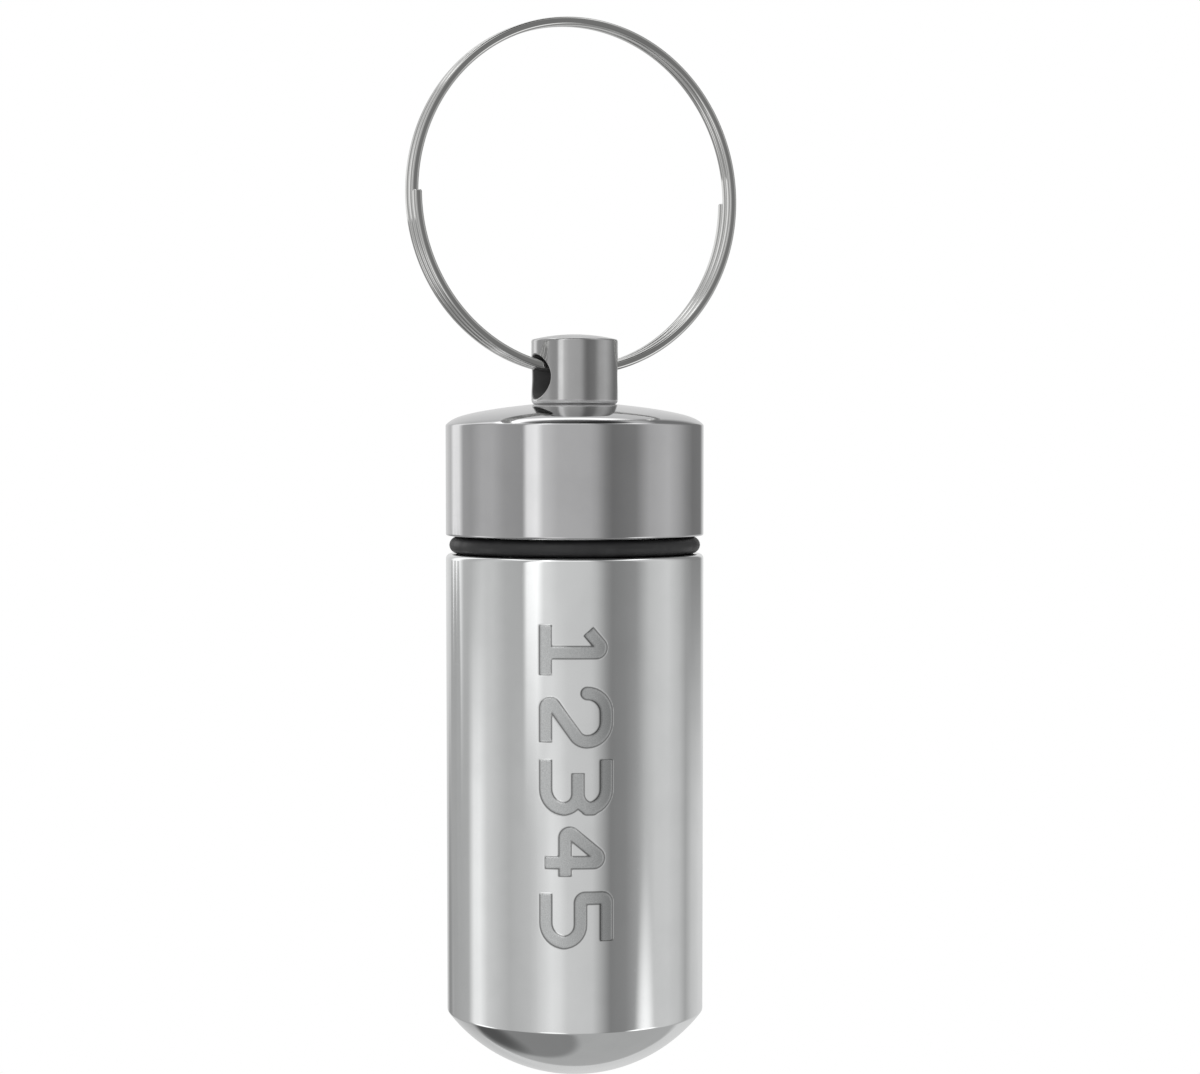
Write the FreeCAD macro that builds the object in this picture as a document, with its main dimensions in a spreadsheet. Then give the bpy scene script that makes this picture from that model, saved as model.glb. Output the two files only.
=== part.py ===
import FreeCAD, Part
import math
import os
import re

import Sketcher

# Key-ring capsule: a tube and a cap that screw together on an O-ring, hung from a wire split ring.
# Row frame: +Z up, +X along the post's cross hole, origin at the inside top of the split ring,
# where a hook or a bunch of keys carries it. The tube, the cap and the O-ring share one local
# datum, the plane of the cap's rim. Lengths are millimetres.

doc = FreeCAD.newDocument("KeyCapsule")
axis_z = FreeCAD.Vector(0, 0, 1)

# ---- driving dimensions ----

driving = (
    ("bodyRadius", 8.5, "outer radius of tube and cap"),
    ("tubeLength", 30.35, "tube's plain wall, from shoulder to dome"),
    ("domeRise", 4.25, "height of the domed end"),
    ("domeEdge", 0.25, "rounding between wall and dome"),
    ("shoulderEdge", 0.15, "rounding of the tube's shoulder"),
    ("neckWall", 0.85, "wall between the tube's thread root and its cavity"),
    ("floorHeight", 1.0, "cavity's floor, below the dome's edge"),
    ("floorCorner", 1.0, "rounding at the cavity's floor"),
    ("boreChamfer", 0.15, "chamfer at the cavity's mouth"),
    ("neckLength", 5.9, "tube's neck above the cap's rim"),
    ("neckStep", 0.2, "O-ring seat's end above the cap's rim"),
    ("sealSection", 1.1, "O-ring section diameter"),
    ("sealInset", 0.22, "how far the O-ring lies inside the tube's outer wall"),
    ("sealFit", 0.03, "radial clearance of the O-ring on its seat"),
    ("sealLift", 0.02, "clearance between shoulder and O-ring"),
    ("sealHeadroom", 0.08, "clearance between O-ring and cap rim"),
    ("threadPitch", 1.0, "thread pitch"),
    ("threadForm", 0.57, "thread depth for one unit of pitch"),
    ("threadLand", 0.2, "width of the thread's crest for one unit of pitch"),
    ("flankSlope", 0.5774, "thread flank's run for one unit of depth, 30 degrees"),
    ("flankPlay", 0.05, "axial clearance on each thread flank"),
    ("rootPlay", 0.1, "radial clearance outside the tube's thread crest"),
    ("tipPlay", 0.08, "radial clearance inside the cap's thread tips"),
    ("toolStand", 0.05, "how far the threading profiles stand out of the metal"),
    ("undercutPlay", 0.05, "undercuts and mouth, beyond the thread roots"),
    ("undercutForm", 0.7, "width of the tube's undercut for one unit of pitch"),
    ("leadIn", 0.45, "lead-in chamfers of the threads"),
    ("capWall", 0.98, "cap's wall outside its thread root"),
    ("capTopWall", 0.8, "cap's ceiling to the unrounded corner of its side"),
    ("mouthDepth", 0.6, "plain counterbore in the cap's mouth"),
    ("mouthChamfer", 0.2, "chamfer inside the cap's rim"),
    ("neckHeadroom", 1.0, "space above the tube's neck inside the cap"),
    ("crownRadius", 36.0, "spherical radius of the cap's crown"),
    ("capCorner", 0.95, "rounding between the cap's side and crown"),
    ("rimEdge", 0.12, "rounding outside the cap's rim"),
    ("reliefCorner", 0.25, "rounding at the cap's ceiling"),
    ("postRadius", 2.85, "eyelet post's radius"),
    ("postRise", 0.35, "height of the post's crowned top"),
    ("postFoot", 0.3, "rounding of the post's foot"),
    ("postTop", 0.15, "rounding of the post's top edge"),
    ("seatMargin", 0.09, "flat seat on the cap, beyond the post's side"),
    ("shankRadius", 1.6, "radius of the post's shank and of its hole"),
    ("rivetSpread", 0.8, "how far the shank's spread end overhangs"),
    ("rivetHeight", 0.45, "thickness of the spread end"),
    ("rivetEdge", 0.2, "rounding of the spread end"),
    ("eyeRadius", 1.45, "cross hole's radius"),
    ("eyeFloor", 0.05, "metal between the foot's rounding and the cross hole"),
    ("eyeRoof", 1.0, "metal between the cross hole and the post's top edge"),
    ("eyeEdge", 0.1, "rounding of the cross hole's mouths"),
    ("ringRadius", 11.34, "split ring's mean radius"),
    ("wireRadial", 0.56, "wire thickness across the coil"),
    ("wireAxial", 0.58, "wire width along the coil's axis"),
    ("wireCorner", 0.14, "rounding of the wire's corners"),
    ("wirePitch", 0.64, "coil pitch"),
    ("wireTurns", 2.5, "turns of wire"),
    ("hangGap", 0.06, "clearance between the hanging eye's roof and the wire"),
)

sheet = doc.addObject("Spreadsheet::Sheet", "Sizes")
for row, (alias, value, meaning) in enumerate(driving, 1):
    sheet.set(f"A{row}", meaning)
    sheet.set(f"B{row}", str(value))
    sheet.setAlias(f"B{row}", alias)
aliases = {alias for alias, _, _ in driving}
doc.recompute()


def bound(text):
    """Turn the size names in an expression into references to the sheet."""
    return re.sub(r"[A-Za-z]+", lambda m: f"Sizes.{m[0]}" if m[0] in aliases else m[0], text)


def value_of(text):
    return float(sheet.evalExpression(bound(text)))


# ---- sizes that follow from the driving ones ----

shoulder_depth = "(sealLift + sealSection + sealHeadroom)"
dome_edge_depth = f"({shoulder_depth} + tubeLength)"
dome_radius = "((bodyRadius^2 + domeRise^2) / (2 * domeRise))"

cap_root = "(bodyRadius - capWall)"
thread_crest = f"({cap_root} - rootPlay)"
thread_root = f"({thread_crest} - threadForm * threadPitch)"
cap_tip = f"({thread_root} + tipPlay)"
cap_relief = f"({cap_root} + undercutPlay)"
tube_undercut = f"({thread_root} - undercutPlay)"
tube_bore = f"({thread_root} - neckWall)"
seal_seat = "(bodyRadius - sealInset - sealSection - sealFit)"
undercut_top = "(neckStep + undercutForm * threadPitch)"

ceiling = "(neckLength + neckHeadroom)"
cap_side = f"({ceiling} + capTopWall)"
seat_radius = "(postRadius + seatMargin)"
seat_height = f"({cap_side} - sqrt(crownRadius^2 - bodyRadius^2) + sqrt(crownRadius^2 - {seat_radius}^2))"
shank_length = f"({seat_height} - {ceiling})"

eye_height = "(postFoot + eyeFloor + eyeRadius)"
post_side = f"({eye_height} + eyeRadius + eyeRoof)"
post_crown = "((postRadius^2 + postRise^2) / (2 * postRise))"
rivet_radius = "(shankRadius + rivetSpread)"

# Hanging, the wire's inner edge bears on the roof of the cross hole at its two mouths.
ring_inner = "(ringRadius - wireRadial / 2)"
strands_half = "(wirePitch + wireAxial / 2)"
mouth_drop = f"sqrt({ring_inner}^2 - postRadius^2 + {strands_half}^2)"
eye_place = f"(-{ring_inner} - {mouth_drop} - sqrt(eyeRadius^2 - {strands_half}^2) + hangGap)"
seat_place = f"({eye_place} - {eye_height})"
rim_place = f"({seat_place} - {seat_height})"


# ---- helpers ----

def new_body(name, place):
    """A body whose datum stands at the given height in the row frame."""
    body = doc.addObject("PartDesign::Body", name)
    body.Label = name
    body.setExpression(".Placement.Base.z", bound(place))
    return body


def new_sketch(body, name, plane):
    sketch = body.newObject("Sketcher::SketchObject", name)
    origin_plane = next(f for f in body.Origin.OriginFeatures if f.Role == plane)
    sketch.AttachmentSupport = [(origin_plane, "")]
    sketch.MapMode = "FlatFace"
    return sketch


def constrain(sketch, kind, refs, text):
    """Add a dimension bound to the sheet."""
    index = sketch.addConstraint(Sketcher.Constraint(kind, *refs, value_of(text)))
    sketch.renameConstraint(index, f"{kind}{index}")
    sketch.setExpression(f"Constraints.{kind}{index}", bound(text))


def outline(body, name, corners):
    """Closed profile on the body's XZ plane, counterclockwise.

    A corner is its distance from the axis and its height. A third value makes the edge that
    leaves it an arc of that radius, bulging outwards.
    """
    sketch = new_sketch(body, name, "XZ_Plane")
    points = [FreeCAD.Vector(value_of(c[0]), value_of(c[1]), 0) for c in corners]
    for index, corner in enumerate(corners):
        start, end = points[index], points[(index + 1) % len(points)]
        if len(corner) == 2:
            sketch.addGeometry(Part.LineSegment(start, end), False)
            continue
        radius = value_of(corner[2])
        along = end - start
        inward = FreeCAD.Vector(-along.y, along.x, 0).normalize()
        centre = (start + end) / 2 + inward * math.sqrt(radius**2 - (along.Length / 2) ** 2)
        circle = Part.Circle(centre, axis_z, radius)
        first, last = (math.atan2(p.y - centre.y, p.x - centre.x) for p in (start, end))
        sketch.addGeometry(Part.ArcOfCircle(circle, first, last), False)
    for index, corner in enumerate(corners):
        sketch.addConstraint(Sketcher.Constraint("Coincident", index - 1 if index else len(corners) - 1,
                                                 2, index, 1))
        constrain(sketch, "DistanceX", (-1, 1, index, 1), corner[0])
        constrain(sketch, "DistanceY", (-1, 1, index, 1), corner[1])
        if len(corner) == 3:
            constrain(sketch, "Radius", (index,), corner[2])
    return sketch


def disc(body, name, plane, across, up, radius):
    """A circle on one of the body's planes."""
    sketch = new_sketch(body, name, plane)
    centre = FreeCAD.Vector(value_of(across), value_of(up), 0)
    sketch.addGeometry(Part.Circle(centre, axis_z, value_of(radius)), False)
    constrain(sketch, "DistanceX", (-1, 1, 0, 3), across)
    constrain(sketch, "DistanceY", (-1, 1, 0, 3), up)
    constrain(sketch, "Radius", (0,), radius)
    return sketch


def turn(body, name, sketch):
    """Revolve a profile about the body's axis."""
    feature = body.newObject("PartDesign::Revolution", name)
    feature.Profile = sketch
    feature.ReferenceAxis = (sketch, ["V_Axis"])
    feature.Angle = 360
    doc.recompute()
    return feature


def coil(body, name, kind, sketch, pitch, height):
    """Carry a profile along a helix about the body's axis."""
    feature = body.newObject(kind, name)
    feature.Profile = sketch
    feature.ReferenceAxis = (sketch, ["V_Axis"])
    feature.Mode = "pitch-height-angle"
    feature.setExpression("Pitch", bound(pitch))
    feature.setExpression("Height", bound(height))
    return feature


def round_edges(body, name, base, circles, radius):
    """Round the circular edges that have the given radii and heights."""
    wanted = [(value_of(r), value_of(z)) for r, z in circles]
    found = []
    for number, edge in enumerate(base.Shape.Edges, 1):
        if not edge.Degenerated and isinstance(edge.Curve, Part.Circle) and any(
            math.isclose(edge.Curve.Radius, r, abs_tol=1e-5)
            and math.isclose(edge.Curve.Center.z, z, abs_tol=1e-5) for r, z in wanted
        ):
            found.append(f"Edge{number}")
    if len(found) != len(wanted):
        raise RuntimeError(f"{name}: {len(found)} of {len(wanted)} edges found")
    feature = body.newObject("PartDesign::Fillet", name)
    feature.Base = (base, found)
    feature.setExpression("Radius", bound(radius))
    doc.recompute()
    return feature


# ---- tube: domed end, plain wall, O-ring seat, undercut, thread, blind bore ----

tube = new_body("tube", rim_place)
tube_turned = turn(tube, "TubeTurned", outline(tube, "TubeProfile", [
    ("0", f"-({dome_edge_depth} + domeRise)", dome_radius),
    ("bodyRadius", f"-{dome_edge_depth}"),
    ("bodyRadius", f"-{shoulder_depth}"),
    (seal_seat, f"-{shoulder_depth}"),
    (seal_seat, "neckStep"),
    (tube_undercut, "neckStep"),
    (tube_undercut, undercut_top),
    (thread_crest, undercut_top),
    (thread_crest, "neckLength - leadIn"),
    (f"{thread_crest} - leadIn", "neckLength"),
    (f"{tube_bore} + boreChamfer", "neckLength"),
    (tube_bore, "neckLength - boreChamfer"),
    (tube_bore, f"-({dome_edge_depth} + floorHeight)"),
    ("0", f"-({dome_edge_depth} + floorHeight)"),
]))
tube_rounded = round_edges(tube, "DomeEdge", tube_turned, [("bodyRadius", f"-{dome_edge_depth}")],
                           "domeEdge")
tube_rounded = round_edges(tube, "ShoulderEdge", tube_rounded,
                           [("bodyRadius", f"-{shoulder_depth}")], "shoulderEdge")
tube_rounded = round_edges(tube, "FloorCorner", tube_rounded,
                           [(tube_bore, f"-({dome_edge_depth} + floorHeight)")], "floorCorner")

# The groove starts in the undercut, just below the thread, and runs out past the neck's end.
groove_half = "((1 - threadLand) * threadPitch / 2)"
root_half = f"({groove_half} - threadForm * threadPitch * flankSlope)"
tool_half = f"({groove_half} + toolStand * flankSlope)"
groove_start = f"({undercut_top} - {tool_half})"
tube_groove = outline(tube, "TubeGrooveProfile", [
    (thread_root, f"{groove_start} - {root_half}"),
    (f"{thread_crest} + toolStand", f"{groove_start} - {tool_half}"),
    (f"{thread_crest} + toolStand", f"{groove_start} + {tool_half}"),
    (thread_root, f"{groove_start} + {root_half}"),
])
coil(tube, "TubeThread", "PartDesign::SubtractiveHelix", tube_groove, "threadPitch",
     f"neckLength + threadPitch - {groove_start}")

# ---- cap: crowned top with a flat seat, female thread, relief, plain mouth ----

cap = new_body("cap", rim_place)
cap_turned = turn(cap, "CapTurned", outline(cap, "CapProfile", [
    ("shankRadius", ceiling),
    (cap_relief, ceiling),
    (cap_relief, "neckLength"),
    (cap_tip, "neckLength"),
    (cap_tip, "mouthDepth + leadIn"),
    (cap_relief, "mouthDepth"),
    (cap_relief, "mouthChamfer"),
    (f"{cap_relief} + mouthChamfer", "0"),
    ("bodyRadius", "0"),
    ("bodyRadius", cap_side, "crownRadius"),
    (seat_radius, seat_height),
    ("shankRadius", seat_height),
]))
cap_rounded = round_edges(cap, "CapCorner", cap_turned, [("bodyRadius", cap_side)], "capCorner")
cap_rounded = round_edges(cap, "RimEdge", cap_rounded, [("bodyRadius", "0")], "rimEdge")
cap_rounded = round_edges(cap, "ReliefCorner", cap_rounded, [(cap_relief, ceiling)], "reliefCorner")

# The cap's groove clears the tube's thread by flankPlay on each side, half a pitch from its groove.
cap_groove_start = f"({groove_start} - threadPitch / 2)"
cap_root_half = "(threadLand * threadPitch / 2 + flankPlay - rootPlay * flankSlope)"
cap_tool_half = (f"({cap_root_half} + ({cap_root} - {cap_tip} + toolStand) * flankSlope)")
cap_groove = outline(cap, "CapGrooveProfile", [
    (f"{cap_tip} - toolStand", f"{cap_groove_start} - {cap_tool_half}"),
    (cap_root, f"{cap_groove_start} - {cap_root_half}"),
    (cap_root, f"{cap_groove_start} + {cap_root_half}"),
    (f"{cap_tip} - toolStand", f"{cap_groove_start} + {cap_tool_half}"),
])
coil(cap, "CapThread", "PartDesign::SubtractiveHelix", cap_groove, "threadPitch",
     f"neckLength + neckHeadroom / 2 - {cap_groove_start}")

# ---- eyelet post: crowned post, cross hole, shank spread over inside the cap ----

post = new_body("eyelet_post", seat_place)
post_turned = turn(post, "PostTurned", outline(post, "PostProfile", [
    ("0", f"-({shank_length} + rivetHeight)"),
    (rivet_radius, f"-({shank_length} + rivetHeight)"),
    (rivet_radius, f"-{shank_length}"),
    ("shankRadius", f"-{shank_length}"),
    ("shankRadius", "0"),
    ("postRadius", "0"),
    ("postRadius", post_side, post_crown),
    ("0", f"{post_side} + postRise"),
]))
post_rounded = round_edges(post, "RivetEdge", post_turned,
                           [(rivet_radius, f"-({shank_length} + rivetHeight)")], "rivetEdge")
post_rounded = round_edges(post, "PostFoot", post_rounded, [("postRadius", "0")], "postFoot")
post_rounded = round_edges(post, "PostTop", post_rounded, [("postRadius", post_side)], "postTop")
eye = post.newObject("PartDesign::Pocket", "Eye")
eye.Profile = disc(post, "EyeProfile", "YZ_Plane", "0", eye_height, "eyeRadius")
eye.Type = "ThroughAll"
eye.Midplane = True
doc.recompute()
mouths = post.newObject("PartDesign::Fillet", "EyeMouths")
mouths.Base = (eye, [
    f"Edge{number}" for number, edge in enumerate(eye.Shape.Edges, 1)
    if abs(edge.CenterOfMass.x) > value_of("postRadius / 2")
    and edge.BoundBox.ZLength > value_of("eyeRadius")
])
mouths.setExpression("Radius", bound("eyeEdge"))

# ---- O-ring on the tube's seat ----

seal = new_body("o_ring", rim_place)
turn(seal, "SealTurned", disc(seal, "SealSection", "XZ_Plane",
                              f"{seal_seat} + sealFit + sealSection / 2",
                              "-(sealHeadroom + sealSection / 2)", "sealSection / 2"))

# ---- split ring: wire coiled about the row's Y axis, both ends at the height of its centre ----

ring = new_body("split_ring", f"-{ring_inner}")
ring.Placement.Rotation = FreeCAD.Rotation(FreeCAD.Vector(-1, 0, 0), axis_z,
                                           FreeCAD.Vector(0, 1, 0), "XYZ")
inner, outer = ring_inner, "(ringRadius + wireRadial / 2)"
low, high = ("(-wireTurns * wirePitch / 2 - wireAxial / 2)",
             "(-wireTurns * wirePitch / 2 + wireAxial / 2)")
wire = outline(ring, "WireSection", [
    (f"{inner} + wireCorner", low),
    (f"{outer} - wireCorner", low, "wireCorner"),
    (outer, f"{low} + wireCorner"),
    (outer, f"{high} - wireCorner", "wireCorner"),
    (f"{outer} - wireCorner", high),
    (f"{inner} + wireCorner", high, "wireCorner"),
    (inner, f"{high} - wireCorner"),
    (inner, f"{low} + wireCorner", "wireCorner"),
])
ring_coil = coil(ring, "RingCoil", "PartDesign::AdditiveHelix", wire, "wirePitch",
                 "wireTurns * wirePitch")
ring_coil.LeftHanded = True
doc.recompute()

# ---- check and write ----

nodes = (tube, cap, post, seal, ring)
failed = [f"{o.Name}: {o.State}" for o in doc.Objects if {"Invalid", "Error"} & set(o.State)]
failed += [n.Label for n in nodes if n.Shape.isNull() or not n.Shape.isValid()]
failed += [f"{n.Label}: {len(n.Shape.Solids)} solids" for n in nodes if len(n.Shape.Solids) != 1]
if failed:
    raise RuntimeError("not built: " + "; ".join(failed))
os.makedirs("parts", exist_ok=True)
for node in nodes:
    node.Shape.exportStep(f"parts/{node.Label}.step")
    print(f"{node.Label}: {node.Shape.Volume:.2f} mm3, box {node.Shape.BoundBox}")
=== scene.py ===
import math

import bmesh
import bpy
import numpy as np
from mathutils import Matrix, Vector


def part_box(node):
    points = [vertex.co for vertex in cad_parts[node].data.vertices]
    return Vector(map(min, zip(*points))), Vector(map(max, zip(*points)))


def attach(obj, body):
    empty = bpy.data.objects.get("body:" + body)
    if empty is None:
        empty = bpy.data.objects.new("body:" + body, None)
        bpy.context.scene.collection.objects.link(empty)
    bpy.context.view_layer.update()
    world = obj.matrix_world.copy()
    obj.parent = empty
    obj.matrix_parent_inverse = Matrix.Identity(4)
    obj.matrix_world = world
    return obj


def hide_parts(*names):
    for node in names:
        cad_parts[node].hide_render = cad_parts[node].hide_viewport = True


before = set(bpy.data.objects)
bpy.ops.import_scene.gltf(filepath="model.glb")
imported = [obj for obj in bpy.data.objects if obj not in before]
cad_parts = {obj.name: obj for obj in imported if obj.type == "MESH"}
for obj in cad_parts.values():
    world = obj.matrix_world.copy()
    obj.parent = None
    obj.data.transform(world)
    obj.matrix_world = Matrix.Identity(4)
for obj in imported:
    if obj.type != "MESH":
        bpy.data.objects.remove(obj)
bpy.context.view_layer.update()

mm = 0.001
fullTurn = 2 * math.pi
samePlace = 2e-5     # points nearer than this, in millimetres, are one point
nearly = 0.02        # slack at the edge of a band of radii or heights, millimetres
farAway = 9.0        # distance from the digits given to points that are nowhere near them
noiseLow, noiseHigh = 0.3, 0.7     # a noise texture seldom leaves this range
print("stage: packed frame loaded")

# Heights come from the frame: the cap's rim is the datum of the tube and the cap.
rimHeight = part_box("cap")[0].z / mm
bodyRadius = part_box("tube")[1].x / mm
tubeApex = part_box("tube")[0].z / mm - rimHeight
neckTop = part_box("tube")[1].z / mm - rimHeight
facing = 246.35     # compass of the tube's engraved face about +Z, degrees from +X


def roundedPath(corners, arcSteps=6, hold=0.02, closed=False, tinyRadius=0.05, tinySteps=3):
    # A path through (a, b, radius) corners. A corner with a radius becomes an arc tangent to
    # both of its runs: its centre is radius / sin(half angle) along the bisector. A point
    # `hold` past each end of an arc keeps the runs flat under smooth shading. Corners no larger
    # than `tinyRadius` get only `tinySteps`.
    points = [np.array(corner[:2], float) for corner in corners]
    count = len(points)
    pieces = []
    for index, (here, corner) in enumerate(zip(points, corners)):
        radius = corner[2]
        if radius == 0 or (not closed and index in (0, count - 1)):
            pieces.append(here[None])
            continue
        back = points[index - 1] - here
        ahead = points[(index + 1) % count] - here
        back, ahead = back / np.linalg.norm(back), ahead / np.linalg.norm(ahead)
        half = math.acos(np.clip(back @ ahead, -1, 1)) / 2
        cut = radius / math.tan(half)
        centre = here + (back + ahead) / np.linalg.norm(back + ahead) * radius / math.sin(half)
        start, end = here + back * cut, here + ahead * cut
        first = math.atan2(*(start - centre)[::-1])
        sweep = (math.atan2(*(end - centre)[::-1]) - first + math.pi) % fullTurn - math.pi
        steps = arcSteps if radius > tinyRadius else tinySteps
        angles = first + sweep * np.linspace(0, 1, steps + 1)
        arc = centre + radius * np.stack([np.cos(angles), np.sin(angles)], 1)
        if hold:
            arc = np.vstack([start + back * hold, arc, end + ahead * hold])
        pieces.append(arc)
    return np.vstack(pieces)


def refine(path, regions, closed=False):
    # Splits the path's runs evenly wherever their middle lies in a region
    # (lowest and highest first coordinate, lowest and highest second, longest run).
    following = np.roll(path, -1, 0) if closed else path[1:]
    pieces = []
    for start, end in zip(path, following):
        middle, length, parts = (start + end) / 2, np.linalg.norm(end - start), 1
        for lowA, highA, lowB, highB, step in regions:
            if lowA < middle[0] < highA and lowB < middle[1] < highB:
                parts = math.ceil(length / step)
        share = np.arange(parts)[:, None] / parts
        pieces.append(start + (end - start) * share)
    if not closed:
        pieces.append(path[-1:])
    return np.vstack(pieces)


def quadsOf(across, along, wrapAlong):
    # Four neighbours on a grid that closes on itself across, and along too if asked.
    i, j = np.meshgrid(np.arange(across), np.arange(along if wrapAlong else along - 1),
                       indexing="ij")
    nextI, nextJ = (i + 1) % across, (j + 1) % along
    return np.stack([i * along + j, nextI * along + j, nextI * along + nextJ,
                     i * along + nextJ], -1).reshape(-1, 4)


def surfaceMesh(name, grid, ends, attributes=None, uv=None):
    # grid[i, j] is a point in millimetres: i goes round the section, j along the piece.
    # ends: "closed" joins the last j to the first, "poles" shuts the first and last j to a
    # point each, "flat" closes them with a face.
    across, along = grid.shape[:2]
    points = grid.reshape(-1, 3)
    keep = np.arange(across * along)
    faces = quadsOf(across, along, ends == "closed")
    if ends == "poles":
        keep = keep.reshape(across, along)
        keep[:, 0], keep[:, -1] = keep[0, 0], keep[0, -1]
        keep = keep.ravel()
    faces = keep[faces]
    used, places = np.unique(faces, return_inverse=True)
    faces = places.reshape(faces.shape)
    points = points[used]
    a, b, c, d = (points[faces[:, k]] for k in range(4))
    volume = np.einsum("ij,ij->i", a, np.cross(b, c) + np.cross(c, d)).sum()
    if volume < 0:
        faces = faces[:, ::-1]
    polygons = faces.tolist()
    if ends == "poles":
        polygons = [[v for k, v in enumerate(face) if v != face[k - 1]] for face in polygons]
    if ends == "flat":
        first, last = np.arange(across) * along, np.arange(across) * along + along - 1
        flip = -1 if volume < 0 else 1
        polygons += [first[::-flip].tolist(), last[::flip].tolist()]
    mesh = bpy.data.meshes.new(name)
    mesh.from_pydata((points * mm).tolist(), [], polygons)
    for label, values in (attributes or {}).items():
        layer = mesh.attributes.new(label, "FLOAT", "POINT")
        layer.data.foreach_set("value", values.reshape(-1)[used].astype(np.float32))
    if uv is not None:
        corners = np.empty(len(mesh.loops), np.int32)
        mesh.loops.foreach_get("vertex_index", corners)
        layer = mesh.uv_layers.new(name="UVMap")
        layer.data.foreach_set("uv", uv.reshape(-1, 2)[used][corners].astype(np.float32).ravel())
    # a groove can squeeze a step to nothing, which leaves points on top of each other
    shape = bmesh.new()
    shape.from_mesh(mesh)
    bmesh.ops.remove_doubles(shape, verts=shape.verts, dist=samePlace * mm)
    shape.to_mesh(mesh)
    shape.free()
    mesh.shade_smooth()
    mesh.update()
    piece = bpy.data.objects.new(name, mesh)
    bpy.context.scene.collection.objects.link(piece)
    print(f"  {name}: {len(polygons)} faces")
    return piece


def turnedGrid(angles, radius, height):
    # A turned surface: x = radius cos(angle), y = radius sin(angle), z = height.
    return np.stack([radius * np.cos(angles), radius * np.sin(angles),
                     np.broadcast_to(height + rimHeight, radius.shape)], -1)


def fromGroove(angles, height, start, pitch):
    # Height above or below the middle of the nearest turn of a right-hand groove that is at
    # `start` where the angle is 0 and climbs one pitch a turn.
    climb = start + pitch * angles / fullTurn
    return np.abs((height - climb + pitch / 2) % pitch - pitch / 2)


def addNode(tree, kind, inputs=None, **settings):
    # An input gets a link where its value is another node's socket.
    node = tree.nodes.new(kind)
    for key, value in settings.items():
        setattr(node, key, value)
    for key, value in (inputs or {}).items():
        if isinstance(value, bpy.types.NodeSocket):
            tree.links.new(value, node.inputs[key])
        else:
            node.inputs[key].default_value = value
    return node


def maths(tree, operation, first, second=None, third=None):
    inputs = {k: v for k, v in enumerate((first, second, third)) if v is not None}
    return addNode(tree, "ShaderNodeMath", inputs, operation=operation).outputs[0]


def mapped(tree, value, fromLow, fromHigh, toLow, toHigh):
    # Eases from one level to the other as the value crosses a range.
    return addNode(tree, "ShaderNodeMapRange", {
        "Value": value, "From Min": fromLow, "From Max": fromHigh, "To Min": toLow,
        "To Max": toHigh}, interpolation_type="SMOOTHSTEP").outputs["Result"]


def stretched(tree, coordinates, scale, turn=(0, 0, 0)):
    return addNode(tree, "ShaderNodeMapping", {
        "Vector": coordinates, "Scale": scale, "Rotation": turn}).outputs["Vector"]


def noise(tree, coordinates, scale, detail=2.0):
    return addNode(tree, "ShaderNodeTexNoise", {
        "Vector": coordinates, "Scale": scale, "Detail": detail}).outputs["Fac"]


def distance(tree, vector):
    return addNode(tree, "ShaderNodeVectorMath", {0: vector},
                   operation="LENGTH").outputs["Value"]


def blended(tree, share, first, second):
    # Share 0 gives the first colour, 1 the second. A Mix node's colours are inputs 6 and 7.
    return addNode(tree, "ShaderNodeMix", {0: share, 6: first, 7: second},
                   data_type="RGBA").outputs[2]


def between(tree, share, first, second):
    # The same for single numbers, which are inputs 2 and 3.
    return addNode(tree, "ShaderNodeMix", {0: share, 2: first, 3: second},
                   data_type="FLOAT").outputs[0]


def ridged(tree, layers):
    # Bump nodes one after the other, each a (height, depth in metres).
    normal = None
    for height, depth in layers:
        inputs = {"Height": height, "Distance": depth, "Strength": 1.0}
        if normal is not None:
            inputs["Normal"] = normal
        normal = addNode(tree, "ShaderNodeBump", inputs).outputs["Normal"]
    return normal


def newMaterial(name):
    material = bpy.data.materials.new(name)
    material.use_nodes = True
    tree = material.node_tree
    return material, tree, tree.nodes["Principled BSDF"]


def dress(piece, material):
    if piece.data.materials:
        for index in range(len(piece.data.materials)):
            piece.data.materials[index] = material
    else:
        piece.data.materials.append(material)


wear = {
    # two sets of scratches: how fine along X, Y and Z per metre, and the set's turn in radians
    "scratchSets": [((9000, 9000, 260), (0.35, 0.2, 0)), ((7000, 300, 7000), (0.1, 0.5, 0.9))],
    # where in its noise each mark begins and is complete
    "scratchCut": (0.66, 0.74), "smearCut": (0.35, 0.75),
}


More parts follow.
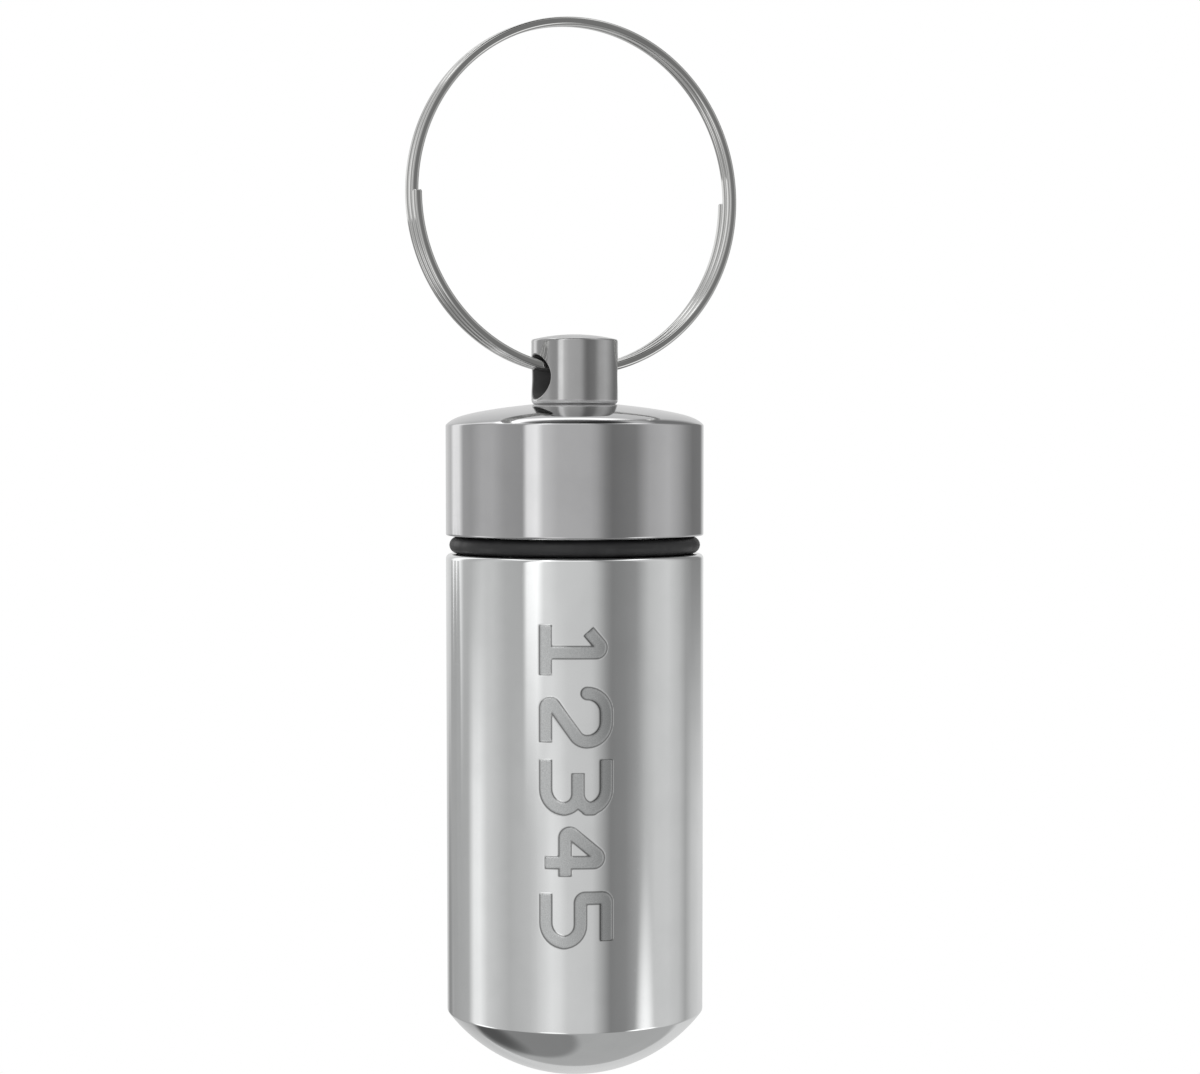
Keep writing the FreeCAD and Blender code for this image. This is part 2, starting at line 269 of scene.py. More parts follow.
def turnedAluminium(name, look):
    # Aluminium polished on the lathe, then carried in a pocket. Where its look asks, it also
    # paints shade along the digits' walls and in a cross hole, and paints light near a foot's
    # seat.
    material, tree, shader = newMaterial(name)
    place = addNode(tree, "ShaderNodeTexCoord").outputs["Object"]
    split = addNode(tree, "ShaderNodeSeparateXYZ", {0: place})
    flat = addNode(tree, "ShaderNodeCombineXYZ", {"X": split.outputs["X"],
                                                  "Y": split.outputs["Y"]})
    # tool marks run round the axis, so they change only with height and distance from it
    rings = addNode(tree, "ShaderNodeCombineXYZ", {
        "X": distance(tree, flat.outputs[0]), "Y": split.outputs["Z"]}).outputs[0]
    toolMarks = noise(tree, rings, look["marksPerMetre"], 3.0)
    smears = noise(tree, place, look["smearsPerMetre"], 3.0)
    waves = noise(tree, place, look["wavesPerMetre"], 1.0)
    # hairline scratches: long thin noise cut down to its crests, in two directions
    hairs = [mapped(tree, noise(tree, stretched(tree, place, size, turn), 1.0),
                    *wear["scratchCut"], 0.0, 1.0) for size, turn in wear["scratchSets"]]
    scratches = maths(tree, "MAXIMUM", *hairs)
    roughness = mapped(tree, smears, noiseLow, noiseHigh, *look["roughness"])
    roughness = maths(tree, "MULTIPLY_ADD", toolMarks, look["marksRoughness"], roughness)
    roughness = maths(tree, "MULTIPLY_ADD", scratches, look["scratchRoughness"], roughness)
    colour = blended(tree, mapped(tree, smears, *wear["smearCut"], 0.0, 1.0),
                     look["colour"], look["smearColour"])
    if look.get("engraved"):
        # "stroke" is the distance in millimetres outside a digit's stroke, less than 0 in it
        stroke = addNode(tree, "ShaderNodeAttribute", attribute_name="stroke").outputs["Fac"]
        inside = mapped(tree, stroke, *look["strokeBlend"], 1.0, 0.0)
        grain = noise(tree, place, look["grainPerMetre"])
        floorColour = blended(tree, mapped(tree, grain, noiseLow, noiseHigh, 0.0, 1.0),
                              look["floorColour"], look["floorShade"])
        colour = blended(tree, inside, colour, floorColour)
        # painted shade: a thin dark line painted along each stroke's sloping wall stands in for
        # the shade on the engraving's walls
        edge = maths(tree, "ABSOLUTE", maths(tree, "ADD", stroke, look["edgeInset"]))
        paintedWallShade = mapped(tree, edge, 0.0, look["edgeWidth"], look["wallShadeStrength"], 0.0)
        colour = blended(tree, paintedWallShade, colour, look["wallShadeColour"])
        floorRoughness = mapped(tree, grain, noiseLow, noiseHigh, *look["floorRoughness"])
        roughness = between(tree, inside, roughness, floorRoughness)
    shader.inputs["Metallic"].default_value = 1.0
    if look.get("hole"):
        # inside the cross hole, which lies along X, the metal turns matt and its colour is
        # painted dark grey: painted shade for the hole's dark inside
        hole = look["hole"]
        acrossHole = addNode(tree, "ShaderNodeCombineXYZ", {
            "X": split.outputs["Y"],
            "Y": maths(tree, "SUBTRACT", split.outputs["Z"], hole["height"])}).outputs[0]
        fromHole = distance(tree, acrossHole)
        past = hole["radius"] + hole["blend"]
        inHole = mapped(tree, fromHole, hole["radius"], past, 1.0, 0.0)
        paintedHoleShade = blended(tree, mapped(tree, smears, noiseLow, noiseHigh, 0.0, 1.0),
                       hole["colour"], hole["shade"])
        colour = blended(tree, inHole, colour, paintedHoleShade)
        roughness = maths(tree, "MAXIMUM", roughness,
                          maths(tree, "MULTIPLY", inHole, hole["roughness"]))
        tree.links.new(mapped(tree, fromHole, hole["radius"], past, 0.0, 1.0),
                       shader.inputs["Metallic"])
    if look.get("foot"):
        # the polishing wheel doesn't reach the crevice under the foot's rounding, so the finish
        # is rougher there; its colour there is painted almost white, painted light that lifts
        # the dark line of shade in the crevice
        foot = look["foot"]
        seatLightAndDull = mapped(tree, split.outputs["Z"], foot["seat"] + foot["dull"],
                          foot["seat"] + foot["reach"], 1.0, 0.0)
        colour = blended(tree, seatLightAndDull, colour, foot["colour"])
        roughness = maths(tree, "MAXIMUM", roughness,
                          maths(tree, "MULTIPLY", seatLightAndDull, foot["roughness"]))
    tree.links.new(colour, shader.inputs["Base Color"])
    tree.links.new(roughness, shader.inputs["Roughness"])
    tree.links.new(ridged(tree, [(waves, look["waveDepth"]), (toolMarks, look["markDepth"])]),
                   shader.inputs["Normal"])
    return material


tube = {
    "domeRise": 4.25, "domeEdge": 0.25, "domeRows": 44,
    "shoulderDepth": 1.2, "shoulderEdge": 0.32,
    "sealSeat": 7.15, "neckStep": 0.2, "undercut": 6.8, "undercutTop": 0.9,
    "crest": 7.42, "root": 6.85, "leadIn": 0.45, "bore": 6.0, "boreChamfer": 0.15,
    "floorHeight": 1.0, "floorCorner": 1.0, "edgeBreak": 0.04,
    "pitch": 1.0, "grooveStart": 0.471, "grooveHalf": 0.4, "flankSlope": 0.5774,
    "threadStep": 0.08,
    # slack in telling the thread's and the wall's points from the rest of the profile
    "pastCrest": 0.1, "belowThread": 0.2, "wallSlack": 1e-3, "wallEdge": 1e-6,
}
engraving = {
    "digits": "12345", "spacing": 4.28, "halfWidth": 1.535, "halfHeight": 1.955,
    "strokeHalf": 0.375, "corner": 1.25, "smallCorner": 0.3, "depth": 0.032, "wallHalf": 0.03,
    "middle": -15.56, "cell": 0.08, "margin": 0.25, "coarseColumns": 140, "arcSteps": 8,
}
tubeLook = {
    "colour": (0.87, 0.88, 0.88, 1), "smearColour": (0.84, 0.85, 0.85, 1),
    "roughness": (0.05, 0.075), "marksPerMetre": 16000, "marksRoughness": 0.02,
    "markDepth": 4e-8, "smearsPerMetre": 420, "wavesPerMetre": 160, "waveDepth": 2e-7,
    "scratchRoughness": 0.08,
    "engraved": True, "strokeBlend": (-0.03, 0.01), "grainPerMetre": 14000,
    "floorColour": (0.62, 0.63, 0.63, 1), "floorShade": (0.54, 0.55, 0.55, 1),
    "floorRoughness": (0.26, 0.36),
    # the dark line along the digits' walls is painted shade
    "edgeInset": -0.02, "edgeWidth": 0.085, "wallShadeStrength": 0.92,
    "wallShadeColour": (0.16, 0.16, 0.16, 1),
}


def digitStrokes(look):
    # Middle lines of the digits' strokes, drawn in a box of half width w and half height h.
    w, h, r, s = (look[k] for k in ("halfWidth", "halfHeight", "corner", "smallCorner"))
    return {
        "1": [[(-0.75 * w, 0.42 * h, 0), (0.1 * w, h, s), (0.1 * w, -h, 0)],
              [(-w, -h, 0), (w, -h, 0)]],
        "2": [[(-w, 0.36 * h, 0), (-w, h, r), (w, h, r), (w, 0.12 * h, 0.7 * r),
               (-w, -h, s), (w, -h, 0)]],
        "3": [[(-w, h, 0), (w, h, r), (w, 0.06 * h, 0.75 * r), (-0.45 * w, 0.06 * h, 0)],
              [(-0.45 * w, 0.06 * h, 0), (w, 0.06 * h, 0.75 * r), (w, -h, r), (-w, -h, 0)]],
        "4": [[(0.45 * w, -h, 0), (0.45 * w, h, s), (-w, -0.36 * h, s), (w, -0.36 * h, 0)]],
        "5": [[(0.92 * w, h, 0), (-0.85 * w, h, s), (-0.85 * w, 0.14 * h, s),
               (w, 0.14 * h, 0.9 * r), (w, -h, r), (-w, -h, 0)]],
    }


def outsideStrokes(alongText, upText, look):
    # Distance from each point to the nearest stroke's edge, less than 0 inside a stroke.
    nearest = np.full(alongText.shape, farAway)
    half = look["strokeHalf"]
    strokes = digitStrokes(look)
    for place, digit in enumerate(look["digits"]):
        centre = (place - (len(look["digits"]) - 1) / 2) * look["spacing"]
        for corners in strokes[digit]:
            line = roundedPath(corners, look["arcSteps"], hold=0)
            for order, (start, end) in enumerate(zip(line, line[1:])):
                length = np.linalg.norm(end - start)
                run = (end - start) / length
                a, b = alongText - centre - start[0], upText - start[1]
                along, aside = a * run[0] + b * run[1], a * run[1] - b * run[0]
                away = np.hypot(along - np.clip(along, 0, length), aside) - half
                # the first and last runs are cut off square
                for last, past in ((0, -along), (len(line) - 2, along - length)):
                    if order == last:
                        away = np.where(past > 0, np.maximum(np.abs(aside) - half, past), away)
                nearest = np.minimum(nearest, away)
    return nearest


def makeTube():
    # A profile turned about the axis. The thread takes min(profile, groove) as its radius,
    # and the digits are sunk by depth * s * s * (3 - 2 s), where s goes from 0 to 1 across
    # a stroke's edge.
    t, e = tube, engraving
    domeTop = tubeApex + t["domeRise"]
    domeRadius = (bodyRadius ** 2 + t["domeRise"] ** 2) / (2 * t["domeRise"])
    across = bodyRadius * np.sin(np.linspace(0, math.pi / 2, t["domeRows"]))
    dome = [(a, tubeApex + domeRadius - math.sqrt(domeRadius ** 2 - a ** 2), 0) for a in across]
    # the last rows would crowd the rounded edge
    dome = dome[:-5] + [(bodyRadius, domeTop, t["domeEdge"])]
    edge = t["edgeBreak"]
    cavityFloor = domeTop - t["floorHeight"]
    profile = roundedPath(dome + [
        (bodyRadius, -t["shoulderDepth"], t["shoulderEdge"]),
        (t["sealSeat"], -t["shoulderDepth"], edge),
        (t["sealSeat"], t["neckStep"], edge),
        (t["undercut"], t["neckStep"], edge),
        (t["undercut"], t["undercutTop"], edge),
        (t["crest"], t["undercutTop"], edge),
        (t["crest"], neckTop - t["leadIn"], edge),
        (t["crest"] - t["leadIn"], neckTop, edge),
        (t["bore"] + t["boreChamfer"], neckTop, edge),
        (t["bore"], neckTop - t["boreChamfer"], edge),
        (t["bore"], cavityFloor, t["floorCorner"]),
        (0, cavityFloor, 0),
    ])
    clear = e["strokeHalf"] + e["margin"]
    halfLength = (len(e["digits"]) - 1) * e["spacing"] / 2 + e["halfWidth"] + clear
    halfAcross = e["halfHeight"] + clear
    # the wall gets its fine rows where the digits are
    wall = np.arange(e["middle"] - halfLength, e["middle"] + halfLength, e["cell"])
    first = np.flatnonzero((profile[:, 0] > bodyRadius - t["wallEdge"])
                           & (profile[:, 1] < wall[0]))[-1]
    profile = np.vstack([profile[:first + 1],
                         np.stack([np.full(wall.shape, bodyRadius), wall], 1),
                         profile[first + 1:]])
    profile = refine(profile, [(t["undercut"] + nearly, t["crest"] + t["pastCrest"],
                                t["undercutTop"], neckTop, t["threadStep"])])
    face = math.radians(facing)
    halfAngle = halfAcross / bodyRadius
    fine = np.arange(-halfAngle, halfAngle, e["cell"] / bodyRadius)
    coarse = np.linspace(fine[-1], fullTurn + fine[0], e["coarseColumns"])[1:-1]
    angles = face + np.concatenate([fine, coarse])
    angle = angles[:, None]
    radius, height = profile[None, :, 0], profile[None, :, 1]
    # thread: a straight-flanked groove cut in from the crest
    off = fromGroove(angle, height, t["grooveStart"], t["pitch"])
    groove = t["crest"] - (t["grooveHalf"] - off) / t["flankSlope"]
    groove = np.clip(groove, t["root"], t["crest"])
    onNeck = (height > t["undercutTop"] - t["belowThread"]) & (radius > t["root"])
    cut = np.where(onNeck, np.minimum(radius, groove), radius)
    # digits: text runs down the wall, its upper side to the right
    alongText = np.broadcast_to(e["middle"] - height, cut.shape)
    turned = (angle - face + math.pi) % fullTurn - math.pi
    upText = np.broadcast_to(turned * bodyRadius, cut.shape)
    onWall = (radius > bodyRadius - t["wallSlack"]) & (np.abs(alongText) < halfLength) \
        & (np.abs(upText) < halfAcross)
    outside = np.full(cut.shape, farAway)
    outside[onWall] = outsideStrokes(alongText[onWall], upText[onWall], e)
    sink = np.clip(0.5 - outside / (2 * e["wallHalf"]), 0, 1)
    sink = e["depth"] * sink * sink * (3 - 2 * sink)
    return surfaceMesh("tube_shell", turnedGrid(angle, cut - sink, height), "poles",
                       attributes={"stroke": outside})


tubeShell = makeTube()
dress(tubeShell, turnedAluminium("polished_tube_aluminium", tubeLook))
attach(tubeShell, "tube")
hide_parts("tube")
print("stage: tube made")


cap = {
    "shank": 1.6, "ceiling": 6.9, "relief": 7.57, "tip": 6.93, "root": 7.52,
    "threadTop": 5.9, "mouthDepth": 0.6, "mouthChamfer": 0.2, "leadIn": 0.45,
    "side": 7.7, "crownRadius": 36.0, "shoulderDrop": 0.4, "shoulderReach": 0.5,
    "settle": 0.04, "corner": 0.2, "rimEdge": 0.12,
    "reliefCorner": 0.25, "seatRadius": 2.94, "edgeBreak": 0.04,
    "pitch": 1.0, "grooveStart": -0.029, "rootHalf": 0.0923, "flankSlope": 0.5774,
    "threadStep": 0.06, "columns": 264, "arcSteps": 8,
    "belowTip": 0.05, "reachSlack": 0.01,     # slack in finding the thread's points
    "crownRows": 24, "crownFirst": 0.12, "crownSecond": 0.18,
}
capLook = {
    "colour": (0.61, 0.61, 0.615, 1), "smearColour": (0.585, 0.585, 0.59, 1),
    "roughness": (0.05, 0.08), "marksPerMetre": 15000, "marksRoughness": 0.02,
    "markDepth": 4e-8, "smearsPerMetre": 450, "wavesPerMetre": 170, "waveDepth": 2e-7,
    "scratchRoughness": 0.08,
}


def makeCap():
    # A closed profile turned about the axis. The thread takes max(profile, groove) as its
    # radius. The crown is a sphere, less a drop that dies away exponentially inwards from the
    # wall, and less a slight settling towards the edge.
    c = cap
    edge = c["edgeBreak"]
    rows = np.geomspace(c["crownSecond"], bodyRadius - c["seatRadius"], c["crownRows"])
    fromWall = np.concatenate([[0, c["crownFirst"]], rows])
    across = bodyRadius - fromWall
    sphere = np.sqrt(c["crownRadius"] ** 2 - across ** 2)
    heights = c["side"] - sphere[0] + sphere \
        - c["shoulderDrop"] * np.exp(-fromWall / c["shoulderReach"]) \
        - c["settle"] * np.clip(1 - fromWall / fromWall[-1], 0, 1) ** 0.5
    crown = [(a, h, 0) for a, h in zip(across, heights)]
    crown[0] = (bodyRadius, heights[0], c["corner"])
    seat = heights[-1]
    profile = roundedPath([
        (c["shank"], c["ceiling"], edge),
        (c["relief"], c["ceiling"], c["reliefCorner"]),
        (c["relief"], c["threadTop"], edge),
        (c["tip"], c["threadTop"], edge),
        (c["tip"], c["mouthDepth"] + c["leadIn"], edge),
        (c["relief"], c["mouthDepth"], edge),
        (c["relief"], c["mouthChamfer"], edge),
        (c["relief"] + c["mouthChamfer"], 0, edge),
        (bodyRadius, 0, c["rimEdge"]),
    ] + crown + [(c["shank"], seat, edge)], c["arcSteps"], closed=True)
    profile = refine(profile, [(c["tip"] - c["belowTip"], c["relief"] + nearly,
                                c["mouthDepth"], c["threadTop"] - nearly,
                                c["threadStep"])], closed=True)
    angle = np.linspace(0, fullTurn, c["columns"], endpoint=False)[:, None]
    radius, height = profile[None, :, 0], profile[None, :, 1]
    off = fromGroove(angle, height, c["grooveStart"], c["pitch"])
    groove = np.clip(c["root"] - (off - c["rootHalf"]) / c["flankSlope"], c["tip"], c["root"])
    inThread = (radius < c["relief"] - c["reachSlack"]) & (radius > c["tip"] - c["belowTip"]) \
        & (height > c["mouthDepth"]) & (height < c["threadTop"] + c["reachSlack"])
    cut = np.where(inThread, np.maximum(radius, groove), radius)
    return surfaceMesh("cap_shell", turnedGrid(angle, cut, height), "closed")


capShell = makeCap()
dress(capShell, turnedAluminium("polished_cap_aluminium", capLook))
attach(capShell, "cap")
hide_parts("cap")
print("stage: cap made")


# the eyelet post is the frame's own solid, with a hand-polished finish, painted shade in its
# cross hole and painted light at its foot
postLook = {
    **capLook,
    "colour": (0.54, 0.54, 0.54, 1), "smearColour": (0.50, 0.50, 0.50, 1),
    "roughness": (0.11, 0.17), "waveDepth": 1.8e-6, "wavesPerMetre": 1600,
    # the cross hole's inside is painted dark grey, a painted shade
    "hole": {"height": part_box("cap")[1].z + 1.8 * mm, "radius": 1.46 * mm,
             "blend": 0.04 * mm, "colour": (0.16, 0.16, 0.16, 1),
             "shade": (0.12, 0.12, 0.12, 1), "roughness": 0.45},
    # near the seat the foot's colour is painted light and its finish made rougher
    "foot": {"seat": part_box("cap")[1].z, "dull": 0.2 * mm, "reach": 0.32 * mm,
             "colour": (0.95, 0.95, 0.95, 1), "roughness": 0.5},
}
dress(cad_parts["eyelet_post"], turnedAluminium("polished_post_aluminium", postLook))
print("stage: eyelet post finished")


seal = {"section": 0.55, "mouldLine": 0.006, "mouldLineHalf": 0.05,
        "columns": 256, "sectionSteps": 56}
sealLook = {"colour": (0.016, 0.016, 0.017, 1), "dust": (0.026, 0.026, 0.027, 1),
            "roughness": (0.42, 0.6), "grainPerMetre": 9000, "grainDepth": 2e-6,
            "dustPerMetre": 750, "dustCut": (0.52, 0.75)}


def makeSeal():
    # A ring of round section. Two faint ridges, at its widest and narrowest, are where the
    # halves of the mould met: section + ridge * exp(-(distance from the mid plane / half)^2).
    low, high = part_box("o_ring")
    middle = (low.z + high.z) / 2 / mm - rimHeight
    ringRadius = high.x / mm - seal["section"]
    angle = np.linspace(0, fullTurn, seal["columns"], endpoint=False)[:, None]
    around = np.linspace(0, fullTurn, seal["sectionSteps"], endpoint=False)[None]
    ridge = seal["mouldLine"] * np.exp(
        -(seal["section"] * np.sin(around) / seal["mouldLineHalf"]) ** 2)
    section = seal["section"] - seal["mouldLine"] + ridge
    radius = np.broadcast_to(ringRadius + section * np.cos(around),
                             (seal["columns"], seal["sectionSteps"]))
    height = np.broadcast_to(middle + section * np.sin(around), radius.shape)
    return surfaceMesh("seal_ring", turnedGrid(angle, radius, height), "closed")


def blackRubber(name, look):
    material, tree, shader = newMaterial(name)
    place = addNode(tree, "ShaderNodeTexCoord").outputs["Object"]
    grain = noise(tree, place, look["grainPerMetre"], 3.0)
    dust = noise(tree, place, look["dustPerMetre"], 4.0)
    tree.links.new(blended(tree, mapped(tree, dust, *look["dustCut"], 0.0, 1.0),
                           look["colour"], look["dust"]), shader.inputs["Base Color"])
    tree.links.new(mapped(tree, dust, noiseLow, noiseHigh, *look["roughness"]),
                   shader.inputs["Roughness"])
    tree.links.new(ridged(tree, [(grain, look["grainDepth"])]), shader.inputs["Normal"])
    return material


sealRing = makeSeal()
dress(sealRing, blackRubber("black_seal_rubber", sealLook))
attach(sealRing, "seal")
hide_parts("o_ring")
print("stage: O-ring made")


ring = {"radius": 11.338, "radial": 0.56, "axial": 0.58, "corner": 0.19, "pitch": 0.64,
        "turns": 2.5, "stepsPerTurn": 220, "endTaper": 0.12, "endShare": 0.82, "endRows": 5,
        "cornerSteps": 5, "hold": 0.015}
ringLook = {"colour": (0.60, 0.60, 0.59, 1), "shade": (0.54, 0.54, 0.53, 1),
            "roughness": (0.035, 0.06), "linesPerMm": 3.0, "drawnDepth": 4e-7,
            "linesAlong": 0.15, "linesRoughness": 0.03, "shadeCut": (0.4, 0.75),
            "smearsPerMetre": 700}


def makeSplitRing():
    # A rounded-corner section carried along a helix about the Y axis, from the left side of
    # the front strand to the right side of the back one. Each end is dressed with a small
    # taper: the section shrinks to `endShare` over the last `endTaper` millimetres.
    g = ring
    halfRadial, halfAxial = g["radial"] / 2, g["axial"] / 2
    section = roundedPath([(halfRadial, halfAxial, g["corner"]),
                           (-halfRadial, halfAxial, g["corner"]),
                           (-halfRadial, -halfAxial, g["corner"]),
                           (halfRadial, -halfAxial, g["corner"])],
                          g["cornerSteps"], g["hold"], closed=True)
    length = fullTurn * g["radius"] * g["turns"]
    inner = np.linspace(g["endTaper"] * 2, length - g["endTaper"] * 2,
                        int(g["stepsPerTurn"] * g["turns"]))
    tip = np.linspace(0, g["endTaper"], g["endRows"])
    along = np.concatenate([tip, inner, length - tip[::-1]])
    fromEnd = np.minimum(along, length - along)
    size = 1 - (1 - g["endShare"]) * np.clip(1 - fromEnd / g["endTaper"], 0, 1) ** 2
    turns = along / length * g["turns"]
    low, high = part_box("split_ring")
    centre = (low.z + high.z) / 2 / mm
    outward = g["radius"] + section[:, None, 0] * size
    angle = fullTurn * turns
    grid = np.stack([-outward * np.cos(angle),
                     (turns - g["turns"] / 2) * g["pitch"] + section[:, None, 1] * size,
                     centre - outward * np.sin(angle)], -1)
    step = np.linalg.norm(np.diff(section, axis=0, append=section[:1]), axis=1)
    around = np.broadcast_to(np.cumsum(step)[:, None], grid.shape[:2])
    uv = np.stack([np.broadcast_to(along, grid.shape[:2]), around], -1)
    return surfaceMesh("split_ring_wire", grid, "flat", uv=uv)


def drawnSteel(name, look):
    # Drawing the wire leaves lines along it: noise on the UV map, where u is the distance
    # along the wire and v the distance round it, both in millimetres.
    material, tree, shader = newMaterial(name)
    texture = addNode(tree, "ShaderNodeTexCoord")
    lines = noise(tree, stretched(tree, texture.outputs["UV"],
                                  (look["linesAlong"], look["linesPerMm"], 1)), 1.0)
    smears = noise(tree, texture.outputs["Object"], look["smearsPerMetre"], 3.0)
    roughness = mapped(tree, smears, noiseLow, noiseHigh, *look["roughness"])
    tree.links.new(maths(tree, "MULTIPLY_ADD", lines, look["linesRoughness"], roughness),
                   shader.inputs["Roughness"])
    tree.links.new(blended(tree, mapped(tree, lines, *look["shadeCut"], 0.0, 1.0),
                           look["colour"], look["shade"]), shader.inputs["Base Color"])
    tree.links.new(ridged(tree, [(lines, look["drawnDepth"])]), shader.inputs["Normal"])
    shader.inputs["Metallic"].default_value = 1.0
    return material


splitRing = makeSplitRing()
dress(splitRing, drawnSteel("drawn_ring_steel", ringLook))
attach(splitRing, "ring")
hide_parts("split_ring")
print("stage: split ring made")


floor = {"height": -0.16, "radius": 0.38, "fadeFrom": 0.2, "colour": (0.86, 0.86, 0.86, 1),
         "roughness": (0.7, 0.85), "specksPerMetre": 60, "columns": 96, "rows": 24}
studio = {
    # soft panels round the object: compass in degrees, 0 in front and + to the right, and
    # brightness. The upper set is at eye level and above, the lower one starts just below.
    "upper": [(-180, 0.74), (-160, 0.76), (-144, 0.64), (-137, 1.15), (-125, 1.15), (-117, 0.5),
              (-104, 0.46), (-90, 0.6), (-77, 0.6), (-64, 0.47), (-46, 0.42), (-42, 1.15),
              (-33, 1.3), (-27, 0.8), (-14, 0.63), (14, 0.6), (20, 0.52), (28, 0.31),
              (34, 0.23), (56, 0.29), (70, 0.56), (92, 0.67), (106, 0.53), (118, 0.36),
              (130, 0.25), (152, 0.24), (163, 0.74)],
    "lower": [(-180, 0.68), (-157, 0.56), (-138, 0.38), (-110, 0.45), (-102, 0.9),
              (-94, 0.94), (-84, 0.66), (-60, 0.47), (-40, 0.54), (-27, 0.72), (-20, 0.82),
              (-13, 0.78), (-6, 0.64), (16, 0.6), (32, 0.22), (46, 0.25), (58, 0.36),
              (66, 0.5), (77, 0.62), (92, 0.64), (107, 0.57), (118, 0.4), (130, 0.58),
              (150, 0.68)],
    # how much of the panels' brightness is left at each height, degrees above the horizon
    "fall": [(0, 1.0), (50, 1.0), (55, 2.4), (61, 2.6), (66, 0.6), (72, 0.15), (90, 0.1)],
    "lowerFrom": -1.5, "lowerTo": -8.5, "groundFrom": -36.0, "groundTo": -42.0,
    "ground": 0.42,
    # soft round patches of light and shade: compass, height, half width and softness in
    # degrees, and brightness. The "patches" lie on the ground, the "lamps" in front of
    # everything: three low lamps and dark stands at the left.
    "patches": [(-100, -60, 28, 5, 0.24), (-136, -47, 2, 15, 0.09), (180, -12, 36, 2, 0.66)],
    "lamps": [(66, -25, 9, 8, 1.5), (-94, -27, 8, 6, 1.4), (-20, -29, 8, 6, 1.4),
              (-142, -6.6, 3.8, 1.3, 0.4), (-134, -6.6, 3.8, 1.3, 0.4),
              (-127, -6.6, 3.8, 1.3, 0.42), (-152, -14, 2, 8, 0.28)],
}
cameraPlace = {"yaw": 24.7, "pitch": 3.65, "distance": 183.0, "aside": 1.67,
               "aboveRim": 6.1, "lens": 83.07, "sensor": 36, "shiftY": 0.0685,
               "clip": (0.01, 5)}


def makeFloor():
    # A disc: radius grows evenly along one parameter, the angle along the other.
    columns, rows = floor["columns"], floor["rows"]
    angle = np.linspace(0, fullTurn, columns, endpoint=False)[:, None]
    across = np.linspace(0, 1, rows + 1)[1:][None] * floor["radius"]
    x, y = across * np.cos(angle), across * np.sin(angle)
    points = np.stack([x, y, np.full(x.shape, floor["height"])], -1).reshape(-1, 3)
    middle = [i * rows for i in range(columns)]
    mesh = bpy.data.meshes.new("floor")
    mesh.from_pydata(points.tolist(), [], quadsOf(columns, rows, False).tolist() + [middle])
    disc = bpy.data.objects.new("floor", mesh)
    bpy.context.scene.collection.objects.link(disc)
    material, tree, shader = newMaterial("pale_floor")
    place = addNode(tree, "ShaderNodeTexCoord").outputs["Object"]
    flat = addNode(tree, "ShaderNodeVectorMath", {0: place, 1: (1, 1, 0)},
                   operation="MULTIPLY").outputs[0]
    fromMiddle = distance(tree, flat)
    tree.links.new(mapped(tree, fromMiddle, floor["fadeFrom"], floor["radius"], 1.0, 0.0),
                   shader.inputs["Alpha"])
    shader.inputs["Base Color"].default_value = floor["colour"]
    specks = noise(tree, place, floor["specksPerMetre"], 3.0)
    tree.links.new(mapped(tree, specks, noiseLow, noiseHigh, *floor["roughness"]),
                   shader.inputs["Roughness"])
    dress(disc, material)
    disc.visible_glossy = False     # the metal mirrors the studio's panels, not the floor


def lightRamp(tree, share, stops):
    # Brightness along `share` from (place, value) stops. The ramp is kept from 0 to 1: the
    # values are divided by the greatest, and what comes out is multiplied by it.
    most = max(value for _, value in stops)
    ramp = addNode(tree, "ShaderNodeValToRGB", {"Fac": share})
    elements = ramp.color_ramp.elements
    for index, (place, value) in enumerate(stops):
        spot = elements[index] if index < 2 else elements.new(place)
        spot.position = place
    for element, (place, value) in zip(elements, stops):
        element.position = place
        element.color = (value / most, value / most, value / most, 1)
    return maths(tree, "MULTIPLY", ramp.outputs["Color"], most)


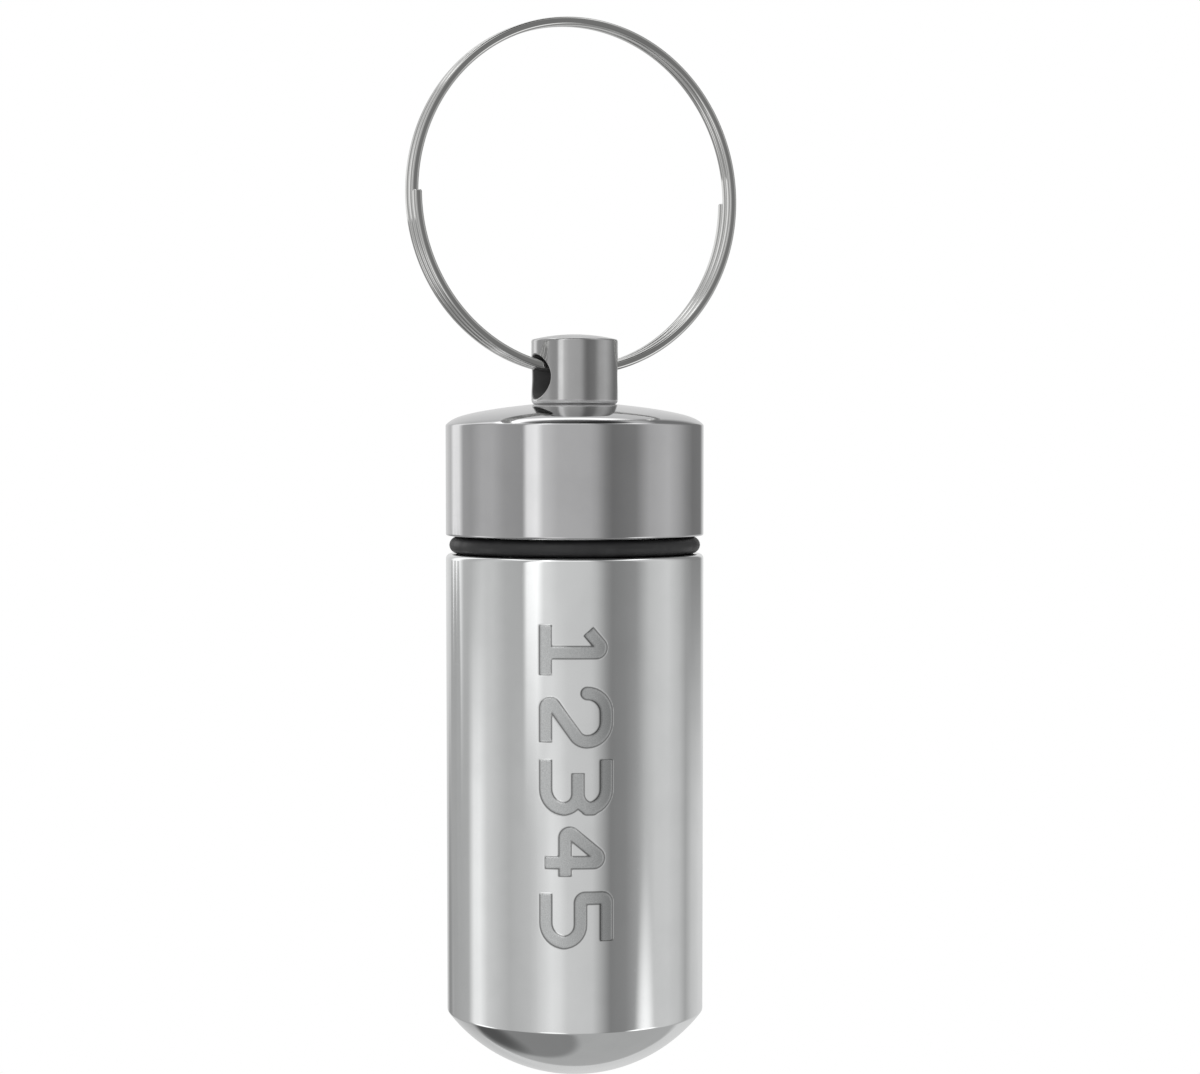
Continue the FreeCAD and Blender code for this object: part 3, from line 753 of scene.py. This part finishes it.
def makeStudio():
    # Brightness by direction: compass round the object and height above the horizon.
    s = studio
    world = bpy.data.worlds.new("studio")
    bpy.context.scene.world = world
    world.use_nodes = True
    tree = world.node_tree
    background = tree.nodes["Background"]
    direction = addNode(tree, "ShaderNodeTexCoord").outputs["Generated"]
    turned = addNode(tree, "ShaderNodeVectorRotate", {
        "Vector": direction, "Axis": (0, 0, 1), "Angle": math.radians(cameraPlace["yaw"])},
        rotation_type="AXIS_ANGLE").outputs[0]
    split = addNode(tree, "ShaderNodeSeparateXYZ", {0: turned})
    right, away, up = (split.outputs[k] for k in "XYZ")
    compass = maths(tree, "ARCTAN2", right, maths(tree, "MULTIPLY", away, -1.0))
    share = maths(tree, "MULTIPLY_ADD", compass, 1 / fullTurn, 0.5)
    height = maths(tree, "MULTIPLY", maths(tree, "ARCSINE", up), 180 / math.pi)

    def around(stops):
        closed = stops + [(180, stops[0][1])]
        return lightRamp(tree, share, [(a / 360 + 0.5, v) for a, v in closed])

    fall = lightRamp(tree, maths(tree, "MULTIPLY", height, 1 / 90),
                     [(h / 90, v) for h, v in s["fall"]])
    panels = maths(tree, "MULTIPLY", around(s["upper"]), fall)

    def towards(compassDegrees, heightDegrees, half, soft):
        # 1 within `half` degrees of a direction, 0 past half + soft
        a, h = math.radians(compassDegrees), math.radians(heightDegrees)
        aim = (math.sin(a) * math.cos(h), -math.cos(a) * math.cos(h), math.sin(h))
        near = addNode(tree, "ShaderNodeVectorMath", {0: turned, 1: aim},
                       operation="DOT_PRODUCT").outputs["Value"]
        return mapped(tree, near, math.cos(math.radians(half + soft)),
                      math.cos(math.radians(half)), 0.0, 1.0)

    def withPatches(base, patches):
        for compassPlace, heightPlace, half, soft, brightness in patches:
            patchShare = towards(compassPlace, heightPlace, half, soft)
            base = between(tree, patchShare, base, brightness)
        return base

    lowerShare = mapped(tree, height, s["lowerTo"], s["lowerFrom"], 1.0, 0.0)
    light = between(tree, lowerShare, panels, around(s["lower"]))
    groundShare = mapped(tree, height, s["groundTo"], s["groundFrom"], 1.0, 0.0)
    light = between(tree, groundShare, light, withPatches(s["ground"], s["patches"]))
    light = withPatches(light, s["lamps"])
    # seen directly, or by a matt surface, the room is plain white
    path = addNode(tree, "ShaderNodeLightPath").outputs
    plain = maths(tree, "MAXIMUM", path["Is Camera Ray"], path["Is Diffuse Ray"])
    tree.links.new(between(tree, plain, light, 1.0), background.inputs["Color"])


def makeCamera():
    c = cameraPlace
    yaw, pitch = math.radians(c["yaw"]), math.radians(c["pitch"])
    camera = bpy.data.objects.new("camera", bpy.data.cameras.new("camera"))
    bpy.context.scene.collection.objects.link(camera)
    camera.location = ((-math.sin(yaw) * c["distance"] + math.cos(yaw) * c["aside"]) * mm,
                       (-math.cos(yaw) * c["distance"] - math.sin(yaw) * c["aside"]) * mm,
                       (rimHeight + c["aboveRim"]) * mm)
    camera.rotation_euler = (math.pi / 2 - pitch, 0, -yaw)
    camera.data.lens = c["lens"]
    camera.data.sensor_width = c["sensor"]
    camera.data.shift_y = c["shiftY"]
    camera.data.clip_start, camera.data.clip_end = c["clip"]
    bpy.context.scene.camera = camera


makeFloor()
makeStudio()
makeCamera()
bpy.context.scene.view_settings.view_transform = "Standard"
print("stage: floor, light and camera placed")
